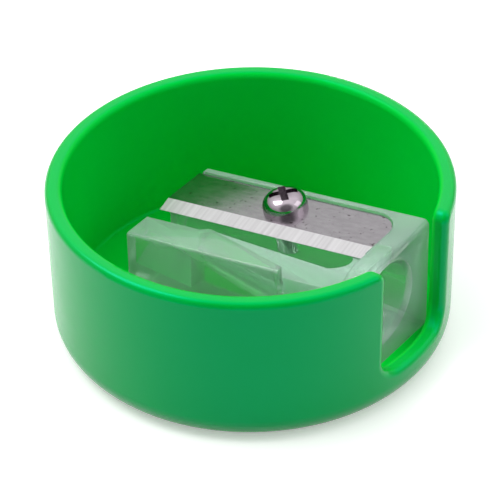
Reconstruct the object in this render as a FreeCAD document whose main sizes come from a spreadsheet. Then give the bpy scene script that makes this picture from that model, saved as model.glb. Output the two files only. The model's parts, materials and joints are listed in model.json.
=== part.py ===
import FreeCAD, Part
import math
import os
import Sketcher

# Round desk sharpener: an open bowl that catches the shavings, with a clear wedge-shaped
# sharpening block pressed into its floor. A steel blade lies in a sloped pocket on top of the
# block, held by one cross-recess screw. Millimetres, +Z up, origin under the middle of the
# bowl. The pencil goes in along X, through the slot in the bowl's wall.

doc = FreeCAD.newDocument("pencil_sharpener")

DIMENSIONS = (
    # bowl
    ("rim_radius", 19.0),
    ("wall_draft", 0.2),
    ("bowl_height", 16.0),
    ("wall", 1.64),
    ("floor_thickness", 2.0),
    ("base_rounding", 2.5),
    ("rim_rounding", 0.6),
    ("floor_fillet", 0.3),
    ("foot_width", 1.8),
    ("foot_recess_depth", 0.3),
    ("slot_margin", 0.99),
    ("slot_shift", 0.91),
    ("sill_drop", 0.9),
    ("slot_corner", 2.0),
    ("slot_lip_rounding", 1.0),
    # sharpening block
    ("tip_rise", 7.41),
    ("top_slope", 10.2),
    ("far_strip", 0.8),
    ("end_wall", 2.27),
    ("block_to_wall", 0.26),
    ("block_corner", 0.3),
    ("mouth_edge", 0.6),
    ("jaw_corner", 0.45),
    ("jaw_edge", 0.35),
    ("pencil_bore_radius", 3.9),
    ("pencil_axis_side", -0.7),
    ("pencil_axis_rise", 6.6),
    ("mouth_chamfer", 0.45),
    ("shaving_depth", 0.15),
    ("guide_length", 8.0),
    ("guide_wall", 0.9),
    ("guide_shoulder", 3.0),
    ("jaw_gap", 2.4),
    ("jaw_width", 3.25),
    ("jaw_bump", 0.5),
    ("jaw_bump_along", 6.4),
    ("jaw_bump_length", 0.9),
    ("jaw_tip_thickness", 0.8),
    ("edge_overhang", 1.3),
    ("chip_window_rise", 3.0),
    ("ramp_drop", 0.1),
    ("ramp_tilt", 9.9),
    ("peg_radius", 1.5),
    ("peg_length", 1.2),
    ("peg_spacing", 15.0),
    ("peg_from_mouth", 6.1),
    ("peg_interference", 0.02),
    ("peg_socket_spare", 0.15),
    # blade
    ("blade_length", 23.9),
    ("blade_width", 6.45),
    ("blade_thickness", 0.5),
    ("blade_edge_side", -0.85),
    ("blade_overhang", 0.35),
    ("blade_corner", 2.8),
    ("grind_width", 1.5),
    ("edge_land", 0.05),
    ("blade_sink", 0.25),
    ("pocket_clearance", 0.1),
    ("blade_hole_clearance", 0.45),
    # screw
    ("screw_radius", 1.05),
    ("thread_depth", 0.22),
    ("thread_pitch", 0.45),
    ("thread_root_width", 0.055),
    ("thread_mouth_width", 0.33),
    ("thread_clearance", 0.05),
    ("screw_length", 4.0),
    ("screw_hole_spare", 0.4),
    ("screw_off_middle", 0.3),
    ("head_radius", 2.15),
    ("head_rise", 1.65),
    ("head_rim", 0.3),
    ("recess_arm", 1.35),
    ("recess_width", 0.7),
    ("recess_depth", 0.95),
    ("recess_turn", 45.0),
    # how far the outline of a cut runs past the material
    ("overcut", 1.0),
)

dims = doc.addObject("Spreadsheet::Sheet", "dims")
for row, (alias, value) in enumerate(DIMENSIONS, start=1):
    dims.set("A%d" % row, alias)
    dims.set("B%d" % row, str(value))
    dims.setAlias("B%d" % row, alias)

# Sizes and places that follow from the driving dimensions, kept in the same sheet.
DERIVED = (
    ("slope_tan", "=tan(top_slope * 1deg)"),
    ("slope_cos", "=cos(top_slope * 1deg)"),
    ("slope_sin", "=sin(top_slope * 1deg)"),
    ("ramp_tan", "=tan(ramp_tilt * 1deg)"),
    ("ramp_cos", "=cos(ramp_tilt * 1deg)"),
    ("base_radius", "=rim_radius - wall_draft"),
    ("floor_radius", "=base_radius - wall"),
    ("foot_recess_radius", "=base_radius - base_rounding - foot_width"),
    # across the block, from the blade outwards
    ("blade_far_side", "=blade_edge_side + blade_width"),
    ("pocket_far_side", "=blade_far_side + pocket_clearance"),
    ("block_far_side", "=pocket_far_side + far_strip"),
    ("jaw_rear", "=blade_edge_side - jaw_gap"),
    ("block_near_side", "=jaw_rear - jaw_width"),
    ("jaw_tip_rear", "=block_near_side + jaw_tip_thickness"),
    ("window_far_side", "=blade_edge_side + edge_overhang"),
    ("guide_side", "=pencil_axis_side - pencil_bore_radius - guide_wall"),
    ("guide_shoulder_middle", "=guide_side + guide_shoulder"),
    ("screw_side", "=(blade_edge_side + grind_width + blade_far_side) / 2 + screw_off_middle"),
    # along the block, from the bowl's wall inwards
    ("pocket_length", "=blade_length - blade_overhang + pocket_clearance"),
    ("mouth_end", "=sqrt(pow(floor_radius - block_to_wall; 2)"
                  " - pow(max(block_far_side; -block_near_side); 2))"),
    ("tip_end", "=mouth_end - end_wall - pocket_length * slope_cos"),
    ("guide_start", "=mouth_end - guide_length"),
    ("jaw_bump_start", "=tip_end + jaw_bump_along"),
    ("jaw_bump_end", "=jaw_bump_start + jaw_bump_length"),
    ("screw_along", "=blade_length / 2 - blade_overhang"),
    ("first_peg", "=mouth_end - peg_from_mouth"),
    # heights
    ("bed_depth", "=blade_sink + blade_thickness"),
    ("ramp_depth", "=bed_depth + ramp_drop"),
    ("pocket_end", "=tip_end + pocket_length * slope_cos + bed_depth * slope_sin"),
    ("tip_top", "=floor_thickness + tip_rise"),
    ("mouth_top", "=tip_top + (mouth_end - tip_end) * slope_tan"),
    ("axis_height", "=floor_thickness + pencil_axis_rise"),
    ("cone_start", "=tip_end + (axis_height + pencil_bore_radius"
                   " + (bed_depth - shaving_depth) / slope_cos - tip_top) / slope_tan"),
    # the slot follows the pencil
    ("slot_near_side", "=pencil_axis_side + slot_shift - pencil_bore_radius - slot_margin"),
    ("slot_far_side", "=pencil_axis_side + slot_shift + pencil_bore_radius + slot_margin"),
    ("slot_sill", "=axis_height - pencil_bore_radius - sill_drop"),
)
for row, (alias, formula) in enumerate(DERIVED, start=len(DIMENSIONS) + 1):
    dims.set("A%d" % row, alias)
    dims.set("B%d" % row, formula)
    dims.setAlias("B%d" % row, alias)
doc.recompute()


def size(alias):
    """The present value of one cell of the sheet."""
    return float(dims.get(alias))


def body(label):
    """A new, empty body with its own label."""
    made = doc.addObject("PartDesign::Body", label)
    made.Label = label
    return made


def bind(thing, **sizes):
    """Give properties of a document object their expressions over the sheet."""
    for name, expression in sizes.items():
        thing.setExpression(name.replace("__", "."), expression)


def sketch(owner, name, plane, **offset):
    """A sketch on one of the body's own planes, moved off it by bound offsets."""
    drawn = owner.newObject("Sketcher::SketchObject", name)
    support = [face for face in owner.Origin.OriginFeatures if face.Role == plane][0]
    drawn.AttachmentSupport = (support, [""])
    drawn.MapMode = "FlatFace"
    for axis, expression in offset.items():
        drawn.setExpression("AttachmentOffset.Base." + axis, expression)
    return drawn


def tilted_sketch(owner, name, depth):
    """A sketch lying in the block's sloped top plane, or at a depth under it.

    Its X runs up the slope from the tip end, and its Y is the part's own Y.
    """
    drawn = sketch(owner, name, "XY_Plane",
                   x="dims.tip_end + (%s) * dims.slope_sin" % depth,
                   z="dims.tip_top - (%s) * dims.slope_cos" % depth)
    drawn.AttachmentOffset = FreeCAD.Placement(
        FreeCAD.Vector(), FreeCAD.Rotation(FreeCAD.Vector(0, -1, 0), 1))
    drawn.setExpression("AttachmentOffset.Rotation.Angle", "dims.top_slope * 1deg")
    return drawn


def fix(drawn, item, point, x, y, x_now=1.0, y_now=1.0):
    """Bind one point of a sketch to two expressions over the sheet.

    Straight lines solve from any start. An arc is given its present place, so that it can't flip.
    """
    for kind, expression, now in (("DistanceX", x, x_now), ("DistanceY", y, y_now)):
        constraint = drawn.addConstraint(Sketcher.Constraint(kind, -1, 1, item, point, now))
        drawn.setExpression("Constraints[%d]" % constraint, expression)


def outline(drawn, corners):
    """A closed polygon whose corners are pairs of expressions."""
    first = drawn.GeometryCount
    count = len(corners)
    turn = 2 * math.pi / count
    ring = [FreeCAD.Vector(math.cos(turn * k), math.sin(turn * k), 0) for k in range(count)]
    for k in range(count):
        drawn.addGeometry(Part.LineSegment(ring[k], ring[(k + 1) % count]))
    for k in range(count):
        following = first + (k + 1) % count
        drawn.addConstraint(Sketcher.Constraint("Coincident", first + k, 2, following, 1))
    for k, (x, y) in enumerate(corners):
        fix(drawn, first + k, 1, x, y)


def rectangle(drawn, x_low, x_high, y_low, y_high):
    outline(drawn, [(x_low, y_low), (x_high, y_low), (x_high, y_high), (x_low, y_high)])


def circle(drawn, x, y, radius):
    """A circle whose middle and radius are expressions."""
    item = drawn.addGeometry(Part.Circle(FreeCAD.Vector(), FreeCAD.Vector(0, 0, 1), 1.0))
    fix(drawn, item, 3, x, y)
    constraint = drawn.addConstraint(Sketcher.Constraint("Radius", item, 1.0))
    drawn.setExpression("Constraints[%d]" % constraint, radius)


def feature(owner, kind, name, profile, **sizes):
    """A pad, pocket or the like made from a sketch, with its sizes bound."""
    made = owner.newObject("PartDesign::" + kind, name)
    made.Profile = profile
    bind(made, **sizes)
    profile.Visibility = False
    return made


def turned(owner, kind, name, profile, axis="V_Axis"):
    """A full revolution or groove about an axis of its own sketch."""
    made = feature(owner, kind, name, profile)
    made.ReferenceAxis = (profile, [axis])
    made.Angle = 360
    return made


def cut_through(owner, name, profile, reverse=False, both=False):
    made = feature(owner, "Pocket", name, profile)
    made.Type = "ThroughAll"
    made.Reversed = reverse
    made.Midplane = both
    return made


def must_cut(feature_made):
    """Recompute, and make sure that a cutting feature took material away."""
    doc.recompute()
    before = feature_made.BaseFeature.Shape.Volume
    if not feature_made.Shape.Volume < before - 1e-6:
        raise RuntimeError(feature_made.Name + " cuts nothing")


def dress(owner, kind, name, chosen, **sizes):
    """A fillet or chamfer on the edges of the body's tip that a test picks out."""
    doc.recompute()
    base = owner.Tip
    picked = ["Edge%d" % (k + 1) for k, edge in enumerate(base.Shape.Edges) if chosen(edge)]
    if not picked:
        raise RuntimeError(name + " finds no edge")
    made = owner.newObject("PartDesign::" + kind, name)
    made.Base = (base, picked)
    bind(made, **sizes)
    return made


SEAM = 0.1  # edges shorter than this are seams left between two fillets


def near(value, target, slack=0.02):
    return abs(value - target) < slack


def all_points(edge, test):
    """Whether a test holds at both ends and the middle of an edge."""
    middle = edge.valueAt((edge.FirstParameter + edge.LastParameter) / 2)
    return all(test(point) for point in [middle] + [v.Point for v in edge.Vertexes])


def upright(edge):
    """Whether an edge runs straight up. The point edge where two fillets meet has no curve."""
    if edge.Degenerated or edge.Curve.TypeId != "Part::GeomLine":
        return False
    return near(abs(edge.Curve.Direction.z), 1, 1e-6)


# ---------------------------------------------------------------- bowl
# One moulding: a floor and a slightly tapered round wall with a rolled rim. A U-shaped slot
# in the wall lets the pencil reach the block, and two blind sockets in the floor take its pegs.
bowl = body("bowl")
section = sketch(bowl, "bowl_section", "XZ_Plane")
outline(section, [
    ("0", "0"),
    ("dims.base_radius", "0"),
    ("dims.rim_radius", "dims.bowl_height"),
    ("dims.rim_radius - dims.wall", "dims.bowl_height"),
    ("dims.base_radius - dims.wall", "dims.floor_thickness"),
    ("0", "dims.floor_thickness"),
])
turned(bowl, "Revolution", "bowl_wall_and_floor", section)

dress(bowl, "Fillet", "bowl_base_rounding",
      lambda e: all_points(e, lambda p: near(p.z, 0)) and e.Curve.TypeId == "Part::GeomCircle",
      Radius="dims.base_rounding")

foot = sketch(bowl, "foot_recess_outline", "XY_Plane")
circle(foot, "0", "0", "dims.foot_recess_radius")
foot_recess = feature(bowl, "Pocket", "foot_recess", foot, Length="dims.foot_recess_depth")
foot_recess.Reversed = True
must_cut(foot_recess)

slot = sketch(bowl, "slot_outline", "YZ_Plane")
rectangle(slot, "dims.slot_near_side", "dims.slot_far_side",
          "dims.slot_sill", "dims.bowl_height + dims.overcut")
must_cut(cut_through(bowl, "pencil_slot", slot, reverse=True))

slot_sides = (size("slot_near_side"), size("slot_far_side"))


def on_slot_side(point):
    return point.x > 0 and any(near(point.y, side) for side in slot_sides)


dress(bowl, "Fillet", "slot_bottom_corners",
      lambda e: all_points(e, lambda p: on_slot_side(p) and near(p.z, size("slot_sill"))),
      Radius="dims.slot_corner")
dress(bowl, "Fillet", "slot_lips",
      lambda e: all_points(e, lambda p: on_slot_side(p) and near(p.z, size("bowl_height"))),
      Radius="dims.slot_lip_rounding")


def on_wall_face(edge, inner):
    """Whether an edge lies on the wall's inner or outer face, above the base rounding."""
    draft = (size("rim_radius") - size("base_radius")) / size("bowl_height")

    def test(point):
        outside = size("base_radius") + draft * point.z
        rise = (point.z - size("floor_thickness")) / (size("bowl_height") - size("floor_thickness"))
        inside = size("base_radius") - size("wall")
        inside += (size("rim_radius") - size("base_radius")) * rise
        radius = math.hypot(point.x, point.y)
        wanted = inside if inner else outside
        return near(radius, wanted) and point.z > size("base_rounding") + size("rim_rounding")
    return all_points(edge, test)


def rim_edge(edge):
    if not (on_wall_face(edge, True) or on_wall_face(edge, False)):
        return False
    return edge.Length > SEAM


dress(bowl, "Fillet", "rim_and_slot_rounding", rim_edge, Radius="dims.rim_rounding")
dress(bowl, "Fillet", "floor_corner",
      lambda e: all_points(e, lambda p: near(p.z, size("floor_thickness"))),
      Radius="dims.floor_fillet")

sockets = sketch(bowl, "peg_socket_outline", "XY_Plane", z="dims.floor_thickness")
for number in (0, 1):
    circle(sockets, "dims.first_peg - %d * dims.peg_spacing" % number, "0", "dims.peg_radius")
must_cut(feature(bowl, "Pocket", "peg_sockets", sockets,
                 Length="dims.peg_length + dims.peg_socket_spare"))

# ---------------------------------------------------------------- sharpening block
# A clear wedge. Its top slopes with the side of the pencil's cone, so the blade that lies in
# the shallow pocket touches the cone along one line. The shavings leave through the window and
# over the ramp in front of the cutting edge, and the pointed jaw guards the edge.
block = body("sharpener_block")
wedge = sketch(block, "wedge_side", "XZ_Plane", z="-dims.block_far_side")
outline(wedge, [
    ("dims.tip_end", "dims.floor_thickness"),
    ("dims.mouth_end", "dims.floor_thickness"),
    ("dims.mouth_end", "dims.mouth_top"),
    ("dims.tip_end", "dims.tip_top"),
])
feature(block, "Pad", "wedge", wedge, Length="dims.block_far_side - dims.block_near_side")

dress(block, "Fillet", "mouth_top_edge",
      lambda e: all_points(e, lambda p: near(p.x, size("mouth_end")) and near(p.z, size("mouth_top"))),
      Radius="dims.mouth_edge")


def jaw_corner(edge):
    """The upright edge where the jaw's near side meets the tip end."""
    if not upright(edge):
        return False
    return all_points(edge, lambda p: near(p.x, size("tip_end")) and near(p.y, size("block_near_side")))


def outer_corner(edge):
    """An upright edge on the block's outside, apart from the jaw's corner."""
    def outside(point):
        return near(point.x, size("mouth_end")) or near(point.y, size("block_far_side"))
    return upright(edge) and all_points(edge, outside)


def jaw_top_edge(edge):
    """The top's edges along the jaw's near side and the tip end, with the corner between them."""
    def on_top(point):
        rise = (point.x - size("tip_end")) * size("slope_tan")
        return near(point.z, size("tip_top") + rise)

    def outside(point):
        from_side = point.y - size("block_near_side")
        from_tip = point.x - size("tip_end")
        return near(from_side, 0) or near(from_tip, 0) or max(from_side, from_tip) < size("jaw_corner")
    return all_points(edge, on_top) and all_points(edge, outside)


dress(block, "Fillet", "jaw_upright_corner", jaw_corner, Radius="dims.jaw_corner")
dress(block, "Fillet", "jaw_top_edges", jaw_top_edge, Radius="dims.jaw_edge")
dress(block, "Fillet", "block_corners", outer_corner, Radius="dims.block_corner")

recess_plan = sketch(block, "guide_side_outline", "XY_Plane", z="dims.floor_thickness")
rectangle(recess_plan, "dims.guide_start", "dims.mouth_end + dims.overcut",
          "dims.block_near_side - dims.overcut", "dims.guide_side")
must_cut(cut_through(block, "guide_side_recess", recess_plan, reverse=True))

# A deep window opens beside the cutting edge at the tip end. Its near side is the jaw's back.
window = sketch(block, "chip_window_outline", "XY_Plane",
                z="dims.floor_thickness + dims.chip_window_rise")
rectangle(window, "dims.tip_end - dims.overcut", "dims.jaw_bump_start",
          "dims.jaw_rear", "dims.window_far_side")
must_cut(cut_through(block, "chip_window", window, reverse=True))

# Further along, the shavings leave over a ramp that falls from under the cutting edge to the
# near side, behind the jaw and past its end.
ramp = sketch(block, "chip_ramp_outline", "XY_Plane",
              x="dims.tip_end + dims.ramp_depth * dims.slope_sin",
              y="dims.blade_edge_side",
              z="dims.tip_top - dims.ramp_depth * dims.slope_cos")
bind(ramp, AttachmentOffset__Rotation__Pitch="-dims.top_slope * 1deg")
bind(ramp, AttachmentOffset__Rotation__Roll="dims.ramp_tilt * 1deg")


def on_ramp(x, y):
    """The place in the ramp's plane that is straight above or below a place in the plan."""
    aside = "(%s - dims.blade_edge_side)" % y
    along = ("(%s - dims.tip_end - (dims.ramp_depth - %s * dims.ramp_tan) * dims.slope_sin)"
             " / dims.slope_cos" % (x, aside))
    return along, aside + " / dims.ramp_cos"


outline(ramp, [on_ramp(x, y) for x, y in (
    ("dims.jaw_bump_start", "dims.jaw_rear"),
    ("dims.jaw_bump_end", "dims.jaw_rear + dims.jaw_bump"),
    ("dims.guide_start", "dims.jaw_tip_rear"),
    ("dims.guide_start", "dims.block_near_side - dims.overcut"),
    ("dims.pocket_end", "dims.block_near_side - dims.overcut"),
    ("dims.pocket_end", "dims.blade_edge_side"),
    ("dims.jaw_bump_start", "dims.blade_edge_side"),
)])
chip_ramp = cut_through(block, "chip_ramp", ramp)
chip_ramp.UseCustomVector = True
chip_ramp.Direction = FreeCAD.Vector(0, 0, 1)
must_cut(chip_ramp)

# The near top edge beside the guide is a quarter round that follows the slope.
shoulder = sketch(block, "guide_shoulder_outline", "YZ_Plane",
                  y="dims.tip_top + (dims.guide_start - dims.overcut - dims.tip_end)"
                    " * dims.slope_tan",
                  z="dims.guide_start - dims.overcut")
shoulder.AttachmentOffset = FreeCAD.Placement(
    FreeCAD.Vector(), FreeCAD.Rotation(FreeCAD.Vector(-1, 0, 0), 1))
bind(shoulder, AttachmentOffset__Rotation__Angle="dims.top_slope * 1deg")
round_middle = FreeCAD.Vector(size("guide_shoulder_middle"), -size("guide_shoulder"), 0)
round_edge = Part.ArcOfCircle(
    Part.Circle(round_middle, FreeCAD.Vector(0, 0, 1), size("guide_shoulder")), math.pi / 2, math.pi)
shoulder.addGeometry(round_edge)
corners = [(size("guide_side"), -size("guide_shoulder")), (size("guide_side"), size("overcut")),
           (round_middle.x, size("overcut")), (round_middle.x, 0.0)]
for start, end in zip(corners, corners[1:]):
    shoulder.addGeometry(Part.LineSegment(FreeCAD.Vector(*start, 0), FreeCAD.Vector(*end, 0)))
for first, first_end, second, second_end in ((0, 2, 1, 1), (1, 2, 2, 1), (2, 2, 3, 1), (3, 2, 0, 1)):
    shoulder.addConstraint(Sketcher.Constraint("Coincident", first, first_end, second, second_end))
shoulder.addConstraint(Sketcher.Constraint("Vertical", 1))
shoulder.addConstraint(Sketcher.Constraint("Horizontal", 2))
shoulder.addConstraint(Sketcher.Constraint("Vertical", 3))
above = shoulder.addConstraint(Sketcher.Constraint("DistanceY", -1, 1, 2, 1, size("overcut")))
shoulder.setExpression("Constraints[%d]" % above, "dims.overcut")
fix(shoulder, 0, 2, "dims.guide_side", "-dims.guide_shoulder",
    size("guide_side"), -size("guide_shoulder"))
fix(shoulder, 0, 3, "dims.guide_shoulder_middle", "-dims.guide_shoulder",
    round_middle.x, round_middle.y)
shoulder.addConstraint(Sketcher.Constraint("DistanceX", 0, 3, 0, 1, 0.0))
must_cut(cut_through(block, "guide_shoulder", shoulder, reverse=True))

# The blade's pocket: open at the tip end, and towards the window and the ramp.
pocket = tilted_sketch(block, "blade_pocket_outline", "dims.bed_depth")
beside_ramp = "(dims.jaw_bump_start - dims.tip_end) / dims.slope_cos - dims.overcut"
outline(pocket, [
    ("-dims.overcut", "dims.pocket_far_side"),
    ("dims.pocket_length", "dims.pocket_far_side"),
    ("dims.pocket_length", "dims.blade_edge_side - dims.pocket_clearance"),
    (beside_ramp, "dims.blade_edge_side - dims.pocket_clearance"),
    (beside_ramp, "dims.window_far_side"),
    ("-dims.overcut", "dims.window_far_side"),
])
must_cut(cut_through(block, "blade_pocket", pocket, reverse=True))

pocket_end = size("tip_end") + size("pocket_length") * size("slope_cos")


def pocket_corner(edge):
    """The upright edge where the pocket's end wall meets its far wall."""
    def test(point):
        return near(point.y, size("pocket_far_side")) and near(point.x, pocket_end, size("bed_depth"))
    return all_points(edge, test)


dress(block, "Fillet", "blade_pocket_corner", pocket_corner,
      Radius="dims.blade_corner + dims.pocket_clearance")

# The pencil's way in: a chamfered mouth, a cylindrical guide and a cone to the tip end.
bore = sketch(block, "pencil_bore_outline", "XZ_Plane",
              y="dims.axis_height", z="-dims.pencil_axis_side")
outline(bore, [
    ("dims.cone_start - dims.pencil_bore_radius / dims.slope_tan", "0"),
    ("dims.mouth_end + dims.overcut", "0"),
    ("dims.mouth_end + dims.overcut",
     "dims.pencil_bore_radius + dims.mouth_chamfer + dims.overcut"),
    ("dims.mouth_end - dims.mouth_chamfer", "dims.pencil_bore_radius"),
    ("dims.cone_start", "dims.pencil_bore_radius"),
])
must_cut(turned(block, "Groove", "pencil_bore", bore, axis="H_Axis"))

screw_plan = tilted_sketch(block, "screw_hole_outline", "dims.bed_depth")
circle(screw_plan, "dims.screw_along", "dims.screw_side", "dims.screw_radius + dims.thread_clearance")
must_cut(feature(block, "Pocket", "screw_hole", screw_plan,
                 Length="dims.screw_length - dims.blade_thickness + dims.screw_hole_spare"))

pegs = sketch(block, "peg_outline", "XY_Plane", z="dims.floor_thickness")
for number in (0, 1):
    circle(pegs, "dims.first_peg - %d * dims.peg_spacing" % number, "0",
           "dims.peg_radius + dims.peg_interference")
peg_pad = feature(block, "Pad", "pegs", pegs, Length="dims.peg_length")
peg_pad.Reversed = True


def seat(owner, depth, along, side):
    """Lay a body on the block's slope: its own origin goes to a place on a tilted plane."""
    owner.Placement = FreeCAD.Placement(
        FreeCAD.Vector(), FreeCAD.Rotation(FreeCAD.Vector(0, -1, 0), 1))
    owner.setExpression("Placement.Rotation.Angle", "dims.top_slope * 1deg")
    owner.setExpression("Placement.Base.x", "dims.tip_end + (%s) * dims.slope_cos"
                        " + (%s) * dims.slope_sin" % (along, depth))
    owner.setExpression("Placement.Base.y", side)
    owner.setExpression("Placement.Base.z", "dims.tip_top + (%s) * dims.slope_sin"
                        " - (%s) * dims.slope_cos" % (along, depth))


# ---------------------------------------------------------------- blade
# A flat strip of hardened steel. Its cutting edge lies on the bed, over the pencil's cone,
# and is ground from above. One corner is rounded to suit the pocket, and the screw passes
# through a hole in the middle of the flat.
blade = body("blade")
blade_plan = sketch(blade, "blade_outline", "XY_Plane")
rectangle(blade_plan, "0", "dims.blade_length", "dims.blade_edge_side", "dims.blade_far_side")
feature(blade, "Pad", "blade_strip", blade_plan, Length="dims.blade_thickness")
dress(blade, "Fillet", "blade_round_corner",
      lambda e: all_points(e, lambda p: near(p.x, size("blade_length"))
                           and near(p.y, size("blade_far_side"))),
      Radius="dims.blade_corner")

grind = sketch(blade, "grind_outline", "YZ_Plane")
outline(grind, [
    ("dims.blade_edge_side - dims.overcut",
     "dims.edge_land - dims.overcut * (dims.blade_thickness - dims.edge_land) / dims.grind_width"),
    ("dims.blade_edge_side + dims.grind_width", "dims.blade_thickness"),
    ("dims.blade_edge_side - dims.overcut", "dims.blade_thickness"),
])
must_cut(cut_through(blade, "ground_edge", grind, both=True))

hole_plan = sketch(blade, "blade_hole_outline", "XY_Plane")
circle(hole_plan, "dims.blade_length / 2", "dims.screw_side",
       "dims.screw_radius + dims.blade_hole_clearance")
must_cut(cut_through(blade, "blade_hole", hole_plan, reverse=True))
seat(blade, "dims.bed_depth", "-dims.blade_overhang", "0 * 1mm")

# ---------------------------------------------------------------- screw
# A small pan-head screw with a cross recess and a rolled thread. Its own origin is under the
# middle of the head, which bears on the blade.
screw = body("screw")
blank = sketch(screw, "screw_section", "XZ_Plane")
outline(blank, [
    ("0", "-dims.screw_length"),
    ("dims.screw_radius - dims.thread_depth", "-dims.screw_length"),
    ("dims.screw_radius", "dims.thread_depth - dims.screw_length"),
    ("dims.screw_radius", "0"),
    ("dims.head_radius", "0"),
    ("dims.head_radius", "dims.head_rise"),
    ("0", "dims.head_rise"),
])
turned(screw, "Revolution", "screw_blank", blank)
dress(screw, "Fillet", "pan_head",
      lambda e: all_points(e, lambda p: near(p.z, size("head_rise"))) and e.Length > SEAM,
      Radius="dims.head_rise - dims.head_rim")

cross = sketch(screw, "cross_recess_outline", "XY_Plane", z="dims.head_rise")
cross.AttachmentOffset = FreeCAD.Placement(
    FreeCAD.Vector(), FreeCAD.Rotation(FreeCAD.Vector(0, 0, 1), 1))
bind(cross, AttachmentOffset__Rotation__Angle="dims.recess_turn * 1deg")
arm = "dims.recess_arm"
half = "dims.recess_width / 2"
outline(cross, [
    ("-" + arm, "-" + half), ("-" + half, "-" + half), ("-" + half, "-" + arm),
    (half, "-" + arm), (half, "-" + half), (arm, "-" + half),
    (arm, half), (half, half), (half, arm),
    ("-" + half, arm), ("-" + half, half), ("-" + arm, half),
])
recess = feature(screw, "Pocket", "cross_recess", cross, Length="dims.recess_depth")
must_cut(recess)

tooth = sketch(screw, "thread_groove_outline", "XZ_Plane")
groove_low = "-dims.screw_length - dims.thread_pitch"
groove_bottom = "dims.screw_radius - dims.thread_depth"
groove_mouth = "dims.screw_radius + dims.thread_clearance"
outline(tooth, [
    (groove_bottom, groove_low + " - dims.thread_root_width / 2"),
    (groove_mouth, groove_low + " - dims.thread_mouth_width / 2"),
    (groove_mouth, groove_low + " + dims.thread_mouth_width / 2"),
    (groove_bottom, groove_low + " + dims.thread_root_width / 2"),
])
thread = feature(screw, "SubtractiveHelix", "thread", tooth)
thread.ReferenceAxis = (tooth, ["V_Axis"])
thread.Mode = "pitch-height-angle"
bind(thread, Pitch="dims.thread_pitch", Height="dims.screw_length")
must_cut(thread)
seat(screw, "dims.blade_sink", "dims.screw_along", "dims.screw_side")

# ---------------------------------------------------------------- check and write
doc.recompute()
for thing in doc.Objects:
    if "Invalid" in thing.State or "Error" in thing.State:
        raise RuntimeError(thing.Label + " did not recompute")

os.makedirs("parts", exist_ok=True)
for piece in (bowl, block, blade, screw):
    if piece.Shape.isNull() or not piece.Shape.isValid():
        raise RuntimeError(piece.Label + " has no valid shape")
    piece.Shape.exportStep("parts/%s.step" % piece.Label)
    print("%-16s %8.2f mm3  %d solid" % (piece.Label, piece.Shape.Volume, len(piece.Shape.Solids)))
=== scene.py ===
import bpy
import json
import math
from mathutils import Matrix, Vector


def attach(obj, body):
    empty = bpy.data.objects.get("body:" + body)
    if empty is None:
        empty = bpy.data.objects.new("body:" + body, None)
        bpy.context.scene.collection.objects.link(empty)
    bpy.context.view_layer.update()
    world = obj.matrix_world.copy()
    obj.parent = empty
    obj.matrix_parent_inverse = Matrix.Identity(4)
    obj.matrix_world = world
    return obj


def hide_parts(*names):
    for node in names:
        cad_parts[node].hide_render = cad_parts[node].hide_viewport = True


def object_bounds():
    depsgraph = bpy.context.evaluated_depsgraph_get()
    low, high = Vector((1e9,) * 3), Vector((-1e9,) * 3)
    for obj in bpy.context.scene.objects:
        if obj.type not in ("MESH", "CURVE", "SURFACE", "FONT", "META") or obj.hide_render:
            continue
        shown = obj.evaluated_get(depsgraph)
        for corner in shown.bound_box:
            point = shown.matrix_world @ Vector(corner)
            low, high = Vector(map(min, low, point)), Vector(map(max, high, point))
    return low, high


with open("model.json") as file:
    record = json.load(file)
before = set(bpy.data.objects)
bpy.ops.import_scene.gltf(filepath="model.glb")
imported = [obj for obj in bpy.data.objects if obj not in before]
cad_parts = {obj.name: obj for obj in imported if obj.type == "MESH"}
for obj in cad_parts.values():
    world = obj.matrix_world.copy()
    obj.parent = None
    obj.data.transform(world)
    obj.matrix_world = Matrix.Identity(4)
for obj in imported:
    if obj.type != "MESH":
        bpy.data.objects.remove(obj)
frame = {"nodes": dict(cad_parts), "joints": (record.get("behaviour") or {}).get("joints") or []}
cad_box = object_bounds()

# ------------------------------------------------------------------ bowl
# The bowl is one injection moulding of glossy green plastic, with a rolled rim and a foot ring.
# It catches the shavings, and the slot in its wall lets the pencil reach the block.
# The lower gloss and the lighter green inside are a choice for the looks, not a known finish; the
# lighter green is painted light, a lit copy of the same plastic.
INSIDE_REACH = 0.0176
INSIDE_BLEND = 0.0002
INSIDE_GLOSS = 0.15
OUTSIDE_GLOSS = 0.6


def new_material(name):
    """A fresh node material, with its shader and an Object-coordinate output to build on."""
    made = bpy.data.materials.new(name)
    made.use_nodes = True
    nodes = made.node_tree.nodes
    shader = nodes["Principled BSDF"]
    place = nodes.new("ShaderNodeTexCoord")
    return made, nodes, made.node_tree.links, shader, place.outputs["Object"]


def noise_on(nodes, links, where, scale, detail=3.0, stretch=(1.0, 1.0, 1.0), turn=(0.0, 0.0, 0.0)):
    """Noise over the object's own coordinates, optionally turned and stretched; its Fac output."""
    mapping = nodes.new("ShaderNodeMapping")
    mapping.inputs["Rotation"].default_value = turn
    mapping.inputs["Scale"].default_value = stretch
    links.new(where, mapping.inputs["Vector"])
    noise = nodes.new("ShaderNodeTexNoise")
    noise.inputs["Scale"].default_value = scale
    noise.inputs["Detail"].default_value = detail
    links.new(mapping.outputs["Vector"], noise.inputs["Vector"])
    return noise.outputs["Fac"]


def spread(nodes, links, value, low, high):
    """A 0 to 1 pattern, mapped onto a range of values."""
    ramp = nodes.new("ShaderNodeMapRange")
    ramp.inputs["To Min"].default_value = low
    ramp.inputs["To Max"].default_value = high
    links.new(value, ramp.inputs["Value"])
    return ramp.outputs["Result"]


def two_tone(nodes, links, value, low, high):
    """A 0 to 1 pattern, turned into a blend of two colours."""
    ramp = nodes.new("ShaderNodeValToRGB")
    ramp.color_ramp.elements[0].color = (*low, 1)
    ramp.color_ramp.elements[1].color = (*high, 1)
    links.new(value, ramp.inputs["Fac"])
    return ramp.outputs["Color"]


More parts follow.
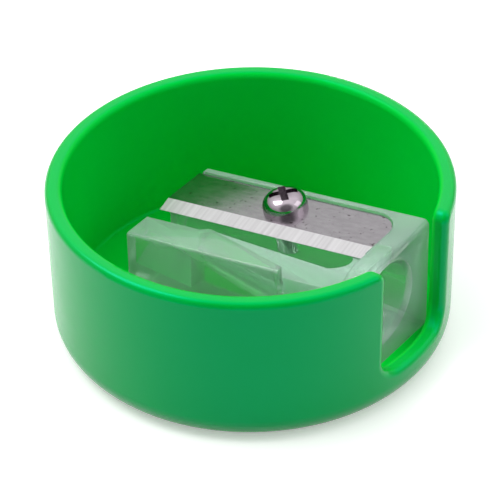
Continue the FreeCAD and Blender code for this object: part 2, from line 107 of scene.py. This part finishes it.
def bump_of(nodes, links, value, depth, strength=1.0):
    """Surface relief of a real depth, in metres."""
    bump = nodes.new("ShaderNodeBump")
    bump.inputs["Strength"].default_value = strength
    bump.inputs["Distance"].default_value = depth
    links.new(value, bump.inputs["Height"])
    return bump.outputs["Normal"]


def dress(piece, material):
    """Give a piece one material all over."""
    piece.data.materials.clear()
    piece.data.materials.append(material)


def bowl_plastic():
    """Glossy green plastic with faint clouding and ripple, painted a lighter green inside than outside
    as painted light. The export drops the gloss mask.
    """
    made, nodes, links, shader, where = new_material("bowl_plastic")
    smudges = noise_on(nodes, links, where, 260.0, 4.0)
    links.new(spread(nodes, links, smudges, 0.16, 0.28), shader.inputs["Roughness"])
    flat = nodes.new("ShaderNodeVectorMath")
    flat.operation = "MULTIPLY"
    flat.inputs[1].default_value = (1.0, 1.0, 0.0)
    links.new(where, flat.inputs[0])
    reach = nodes.new("ShaderNodeVectorMath")
    reach.operation = "LENGTH"
    links.new(flat.outputs["Vector"], reach.inputs[0])
    outside = nodes.new("ShaderNodeMapRange")
    outside.inputs["From Min"].default_value = INSIDE_REACH
    outside.inputs["From Max"].default_value = INSIDE_REACH + INSIDE_BLEND
    links.new(reach.outputs["Value"], outside.inputs["Value"])
    links.new(spread(nodes, links, outside.outputs["Result"], INSIDE_GLOSS, OUTSIDE_GLOSS),
              shader.inputs["Specular IOR Level"])
    clouds = noise_on(nodes, links, where, 90.0, 2.0)
    # Painted light: the inside gets a lighter green than the outside, a lit copy of the same plastic.
    painted_light_tone = nodes.new("ShaderNodeMix")
    painted_light_tone.data_type = "RGBA"
    links.new(outside.outputs["Result"], painted_light_tone.inputs[0])
    links.new(two_tone(nodes, links, clouds, (0.0, 0.60, 0.038), (0.0, 0.67, 0.048)), painted_light_tone.inputs[6])
    links.new(two_tone(nodes, links, clouds, (0.0, 0.47, 0.038), (0.0, 0.53, 0.048)), painted_light_tone.inputs[7])
    links.new(painted_light_tone.outputs[2], shader.inputs["Base Color"])
    ripple = noise_on(nodes, links, where, 150.0, 1.0)
    links.new(bump_of(nodes, links, ripple, 0.00004, 0.3), shader.inputs["Normal"])
    shader.inputs["IOR"].default_value = 1.5
    shader.inputs["Specular Tint"].default_value = (0.0, 1.0, 1.0, 1.0)
    shader.inputs["Subsurface Weight"].default_value = 0.35
    shader.inputs["Subsurface Radius"].default_value = (0.1, 1.0, 0.2)
    shader.inputs["Subsurface Scale"].default_value = 0.0012
    return made


bowl = frame["nodes"]["bowl"]
dress(bowl, bowl_plastic())

# ------------------------------------------------------------------ sharpening block
# The block is one clear polystyrene moulding with a pencil hole, a chip window and a jaw.
# Its two pegs press into the bowl's floor, so it stays in the bowl for good. It touches the
# bowl and the blade through a film of air, which is what makes clear plastic look clear.
UNDERSIDE = 0.002
FLOOR_AIR = 0.00003
PEG_AIR = 0.00005
BED_AIR = 0.00002
BLOCK_EDGE = 0.00005
SHARP_ANGLE = 35.0
SAME_PLANE = 0.000005

blade = frame["nodes"]["blade"]
screw_joint = [j for j in frame["joints"] if j["name"] == "screw_turn"][0]
slope_up = Vector(screw_joint["axis"])
slope = math.atan2(-slope_up.x, slope_up.z)


def edit_points(piece, chosen):
    """Select the points of a piece that a test picks out, and go into edit mode on it."""
    bpy.ops.object.select_all(action="DESELECT")
    piece.select_set(True)
    bpy.context.view_layer.objects.active = piece
    bpy.ops.object.mode_set(mode="EDIT")
    bpy.ops.mesh.select_mode(type="VERT")
    bpy.ops.mesh.select_all(action="DESELECT")
    bpy.ops.object.mode_set(mode="OBJECT")
    for point in piece.data.vertices:
        point.select = chosen(point.co)
    bpy.ops.object.mode_set(mode="EDIT")


def whole_copy(node, name):
    """A copy of a CAD node to work on, with its loose triangles joined and its flats made whole."""
    made = bpy.data.objects.new(name, node.data.copy())
    bpy.context.scene.collection.objects.link(made)
    edit_points(made, lambda point: True)
    bpy.ops.mesh.remove_doubles(threshold=0.000001)
    bpy.ops.mesh.dissolve_limited(angle_limit=math.radians(0.5))
    bpy.ops.object.mode_set(mode="OBJECT")
    return made


def soften_edges(piece, width, angle):
    """Break a piece's sharp edges, and shade it smooth across the rest."""
    bevel = piece.modifiers.new("edges", "BEVEL")
    bevel.width = width
    bevel.segments = 2
    bevel.limit_method = "ANGLE"
    bevel.angle_limit = math.radians(angle)
    bevel.use_clamp_overlap = False
    bpy.ops.object.select_all(action="DESELECT")
    piece.select_set(True)
    bpy.context.view_layer.objects.active = piece
    bpy.ops.object.modifier_apply(modifier=bevel.name)
    bpy.ops.object.shade_smooth_by_angle(angle=math.radians(angle))


def clear_plastic():
    """Clear polystyrene with a milky haze and flow lines. Lamplight passes straight through."""
    made, nodes, links, shader, where = new_material("clear_plastic")
    shader.inputs["Base Color"].default_value = (0.57, 0.77, 0.67, 1.0)
    shader.inputs["IOR"].default_value = 1.5
    haze = noise_on(nodes, links, where, 400.0, 3.0)
    links.new(spread(nodes, links, haze, 0.08, 0.20), shader.inputs["Roughness"])
    milk = noise_on(nodes, links, where, 160.0, 2.0, stretch=(0.5, 1.0, 1.0))
    links.new(spread(nodes, links, milk, 0.78, 0.62), shader.inputs["Transmission Weight"])
    flow = noise_on(nodes, links, where, 220.0, 2.0, stretch=(0.4, 1.0, 1.0))
    links.new(bump_of(nodes, links, flow, 0.00003, 0.25), shader.inputs["Normal"])
    path = nodes.new("ShaderNodeLightPath")
    through = nodes.new("ShaderNodeBsdfTransparent")
    through.inputs["Color"].default_value = (0.88, 0.95, 0.90, 1.0)
    mix = nodes.new("ShaderNodeMixShader")
    links.new(path.outputs["Is Shadow Ray"], mix.inputs["Fac"])
    links.new(shader.outputs["BSDF"], mix.inputs[1])
    links.new(through.outputs["BSDF"], mix.inputs[2])
    links.new(mix.outputs["Shader"], nodes["Material Output"].inputs["Surface"])
    return made


cad_block = frame["nodes"]["sharpener_block"]
block = whole_copy(cad_block, "clear_block")

# The underside stands off the floor, and the pegs off their sockets.
edit_points(block, lambda point: abs(point.z - UNDERSIDE) < SAME_PLANE)
bpy.ops.transform.translate(value=(0.0, 0.0, FLOOR_AIR))
bpy.ops.object.mode_set(mode="OBJECT")
peg_points = [v.co.copy() for v in block.data.vertices if v.co.z < UNDERSIDE - SAME_PLANE]
middle = sum(point.x for point in peg_points) / len(peg_points)
for side in (-1, 1):
    along = [point.x for point in peg_points if (point.x - middle) * side > 0]
    axis_x = (min(along) + max(along)) / 2
    peg_radius = (max(along) - min(along)) / 2
    edit_points(block, lambda point: point.z < UNDERSIDE + 2 * FLOOR_AIR
                and math.hypot(point.x - axis_x, point.y) < 1.2 * peg_radius)
    narrower = 1 - PEG_AIR / peg_radius
    bpy.ops.transform.resize(value=(narrower, narrower, 1.0), center_override=(axis_x, 0.0, 0.0))
    bpy.ops.object.mode_set(mode="OBJECT")

# The bed lies just under the blade.
bed = min(slope_up.dot(v.co) for v in blade.data.vertices)
edit_points(block, lambda point: abs(slope_up.dot(point) - bed) < SAME_PLANE)
bpy.ops.transform.translate(value=-slope_up * BED_AIR)
bpy.ops.object.mode_set(mode="OBJECT")

soften_edges(block, BLOCK_EDGE, SHARP_ANGLE)
dress(block, clear_plastic())
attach(block, "root")
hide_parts("sharpener_block")

# ------------------------------------------------------------------ blade
# The blade is a strip of hardened steel, ground flat all over and once more along its edge.
# It lies in the block's sloped pocket under the head of its screw.
GRIND_WIDTH = 0.0015
GRIND_BLEND = 0.00002
edge_side = min(v.co.y for v in blade.data.vertices)


def blade_steel():
    """Satin steel with a few specks; the ground edge is brighter, with lines across it."""
    made, nodes, links, shader, where = new_material("blade_steel")
    shader.inputs["Metallic"].default_value = 1.0
    parts = nodes.new("ShaderNodeSeparateXYZ")
    links.new(where, parts.inputs["Vector"])
    on_edge = nodes.new("ShaderNodeMapRange")
    on_edge.inputs["From Min"].default_value = edge_side + GRIND_WIDTH + GRIND_BLEND
    on_edge.inputs["From Max"].default_value = edge_side + GRIND_WIDTH - GRIND_BLEND
    links.new(parts.outputs["Y"], on_edge.inputs["Value"])

    satin = noise_on(nodes, links, where, 2600.0, 5.0, stretch=(0.3, 1.0, 1.0), turn=(0.0, slope, 0.0))
    lines = noise_on(nodes, links, where, 1000.0, 3.0, stretch=(3.0, 0.10, 0.2), turn=(0.0, slope, 0.0))
    specks = noise_on(nodes, links, where, 2600.0, 1.0)
    few = nodes.new("ShaderNodeMapRange")
    few.inputs["From Min"].default_value = 0.68
    few.inputs["From Max"].default_value = 0.74
    links.new(specks, few.inputs["Value"])

    def blend(kind, factor, first, second):
        mix = nodes.new("ShaderNodeMix")
        mix.data_type = kind
        sockets = {"FLOAT": (0, 2, 3), "RGBA": (0, 6, 7)}[kind]
        for source, socket in zip((factor, first, second), sockets):
            links.new(source, mix.inputs[socket])
        return mix.outputs[{"FLOAT": 0, "RGBA": 2}[kind]]

    flat_colour = two_tone(nodes, links, satin, (0.35, 0.33, 0.35), (0.53, 0.50, 0.53))
    edge_colour = two_tone(nodes, links, lines, (0.38, 0.37, 0.38), (0.70, 0.69, 0.70))
    speck_colour = two_tone(nodes, links, specks, (0.10, 0.08, 0.09), (0.16, 0.13, 0.14))
    flat_colour = blend("RGBA", few.outputs["Result"], flat_colour, speck_colour)
    links.new(blend("RGBA", on_edge.outputs["Result"], flat_colour, edge_colour),
              shader.inputs["Base Color"])
    flat_rough = spread(nodes, links, satin, 0.16, 0.27)
    edge_rough = spread(nodes, links, lines, 0.30, 0.42)
    links.new(blend("FLOAT", on_edge.outputs["Result"], flat_rough, edge_rough),
              shader.inputs["Roughness"])
    relief = blend("FLOAT", on_edge.outputs["Result"], satin, lines)
    links.new(bump_of(nodes, links, relief, 0.000003, 0.4), shader.inputs["Normal"])
    return made


dress(blade, blade_steel())

# ------------------------------------------------------------------ screw
# The screw is a small pan-head machine screw with a cross recess, bright nickel over steel.
# Its rolled thread cuts its own way into the block's plastic.


def screw_plating():
    """Bright nickel plating, a little uneven."""
    made, nodes, links, shader, where = new_material("screw_plating")
    shader.inputs["Metallic"].default_value = 1.0
    wear = noise_on(nodes, links, where, 900.0, 4.0)
    links.new(two_tone(nodes, links, wear, (0.34, 0.29, 0.33), (0.54, 0.48, 0.53)),
              shader.inputs["Base Color"])
    links.new(spread(nodes, links, wear, 0.08, 0.20), shader.inputs["Roughness"])
    links.new(bump_of(nodes, links, wear, 0.00001, 0.3), shader.inputs["Normal"])
    return made


screw = frame["nodes"]["screw"]
dress(screw, screw_plating())

# ------------------------------------------------------------------ studio
# A white table in soft light from all round, with a softbox to the left, a weaker one to the
# right and a darker gap in the white surround, in a fixed direction.
CAMERA_PLACE = Vector((0.124064, -0.167663, 0.165085))
CAMERA_AIM = Vector((-0.000115, -0.000085, 0.00768))
CAMERA_ROLL = math.radians(-0.975)
CAMERA_LENS = 200.4
HORIZON = 0.30
OVERHEAD = 1.35
CAMERA_GAP = 0.22
GAP_OUTER = math.radians(42)
GAP_INNER = math.radians(18)
TABLE_SIZE = 3.0

bpy.ops.object.select_all(action="DESELECT")
bpy.ops.mesh.primitive_plane_add(size=TABLE_SIZE, location=(0.0, 0.0, cad_box[0].z))
floor = bpy.context.object
floor.name = "floor"


def table_top():
    """Matt white paper. It is drawn white, but throws back less light than white paper does."""
    made, nodes, links, shader, where = new_material("table_top")
    grain = noise_on(nodes, links, where, 300.0, 2.0)
    links.new(two_tone(nodes, links, grain, (0.93, 0.93, 0.93), (0.95, 0.95, 0.95)),
              shader.inputs["Base Color"])
    shader.inputs["Roughness"].default_value = 0.9
    shader.inputs["Emission Color"].default_value = (1.0, 1.0, 1.0, 1.0)
    shader.inputs["Emission Strength"].default_value = 0.35
    path = nodes.new("ShaderNodeLightPath")
    dim = nodes.new("ShaderNodeBsdfDiffuse")
    dim.inputs["Color"].default_value = (0.3, 0.3, 0.3, 1.0)
    mix = nodes.new("ShaderNodeMixShader")
    links.new(path.outputs["Is Diffuse Ray"], mix.inputs["Fac"])
    links.new(shader.outputs["BSDF"], mix.inputs[1])
    links.new(dim.outputs["BSDF"], mix.inputs[2])
    links.new(mix.outputs["Shader"], nodes["Material Output"].inputs["Surface"])
    return made


dress(floor, table_top())


def studio_surround():
    """White all round, brightest overhead, with a soft grey gap in the main view's direction."""
    sky = bpy.data.worlds.new("studio")
    sky.use_nodes = True
    nodes, links = sky.node_tree.nodes, sky.node_tree.links
    place = nodes.new("ShaderNodeTexCoord")
    height = nodes.new("ShaderNodeSeparateXYZ")
    links.new(place.outputs["Generated"], height.inputs["Vector"])
    rise = nodes.new("ShaderNodeMapRange")
    rise.inputs["From Max"].default_value = 0.9
    rise.inputs["To Min"].default_value = HORIZON
    rise.inputs["To Max"].default_value = OVERHEAD
    links.new(height.outputs["Z"], rise.inputs["Value"])
    towards = nodes.new("ShaderNodeVectorMath")
    towards.operation = "DOT_PRODUCT"
    towards.inputs[1].default_value = CAMERA_PLACE.normalized()
    links.new(place.outputs["Generated"], towards.inputs[0])
    gap = nodes.new("ShaderNodeMapRange")
    gap.interpolation_type = "SMOOTHSTEP"
    gap.inputs["From Min"].default_value = math.cos(GAP_OUTER)
    gap.inputs["From Max"].default_value = math.cos(GAP_INNER)
    gap.inputs["To Min"].default_value = 1.0
    gap.inputs["To Max"].default_value = CAMERA_GAP
    links.new(towards.outputs["Value"], gap.inputs["Value"])
    both = nodes.new("ShaderNodeMath")
    both.operation = "MULTIPLY"
    links.new(rise.outputs["Result"], both.inputs[0])
    links.new(gap.outputs["Result"], both.inputs[1])
    links.new(both.outputs["Value"], nodes["Background"].inputs["Strength"])
    nodes["Background"].inputs["Color"].default_value = (1.0, 1.0, 1.0, 1.0)
    return sky


bpy.context.scene.world = studio_surround()


def softbox(name, at, width, height, power, aim=(0.0, 0.0, 0.008)):
    """A rectangular area light that faces the object."""
    data = bpy.data.lights.new(name, "AREA")
    data.shape = "RECTANGLE"
    data.size = width
    data.size_y = height
    data.energy = power
    made = bpy.data.objects.new(name, data)
    bpy.context.scene.collection.objects.link(made)
    made.location = at
    made.rotation_euler = (Vector(aim) - Vector(at)).to_track_quat("-Z", "Y").to_euler()
    return made


softbox("key_left", (-0.30, -0.16, 0.55), 0.36, 0.36, 1.5)
softbox("fill_right", (0.50, 0.25, 0.40), 0.35, 0.35, 0.35)

camera_data = bpy.data.cameras.new("camera")
camera_data.lens = CAMERA_LENS
camera_data.sensor_width = 36.0
camera_data.clip_start = 0.01
camera = bpy.data.objects.new("camera", camera_data)
bpy.context.scene.collection.objects.link(camera)
look = (CAMERA_AIM - CAMERA_PLACE).to_track_quat("-Z", "Y").to_matrix().to_4x4()
camera.matrix_world = Matrix.Translation(CAMERA_PLACE) @ look @ Matrix.Rotation(CAMERA_ROLL, 4, "Z")
bpy.context.scene.camera = camera
bpy.context.scene.view_settings.view_transform = "Standard"
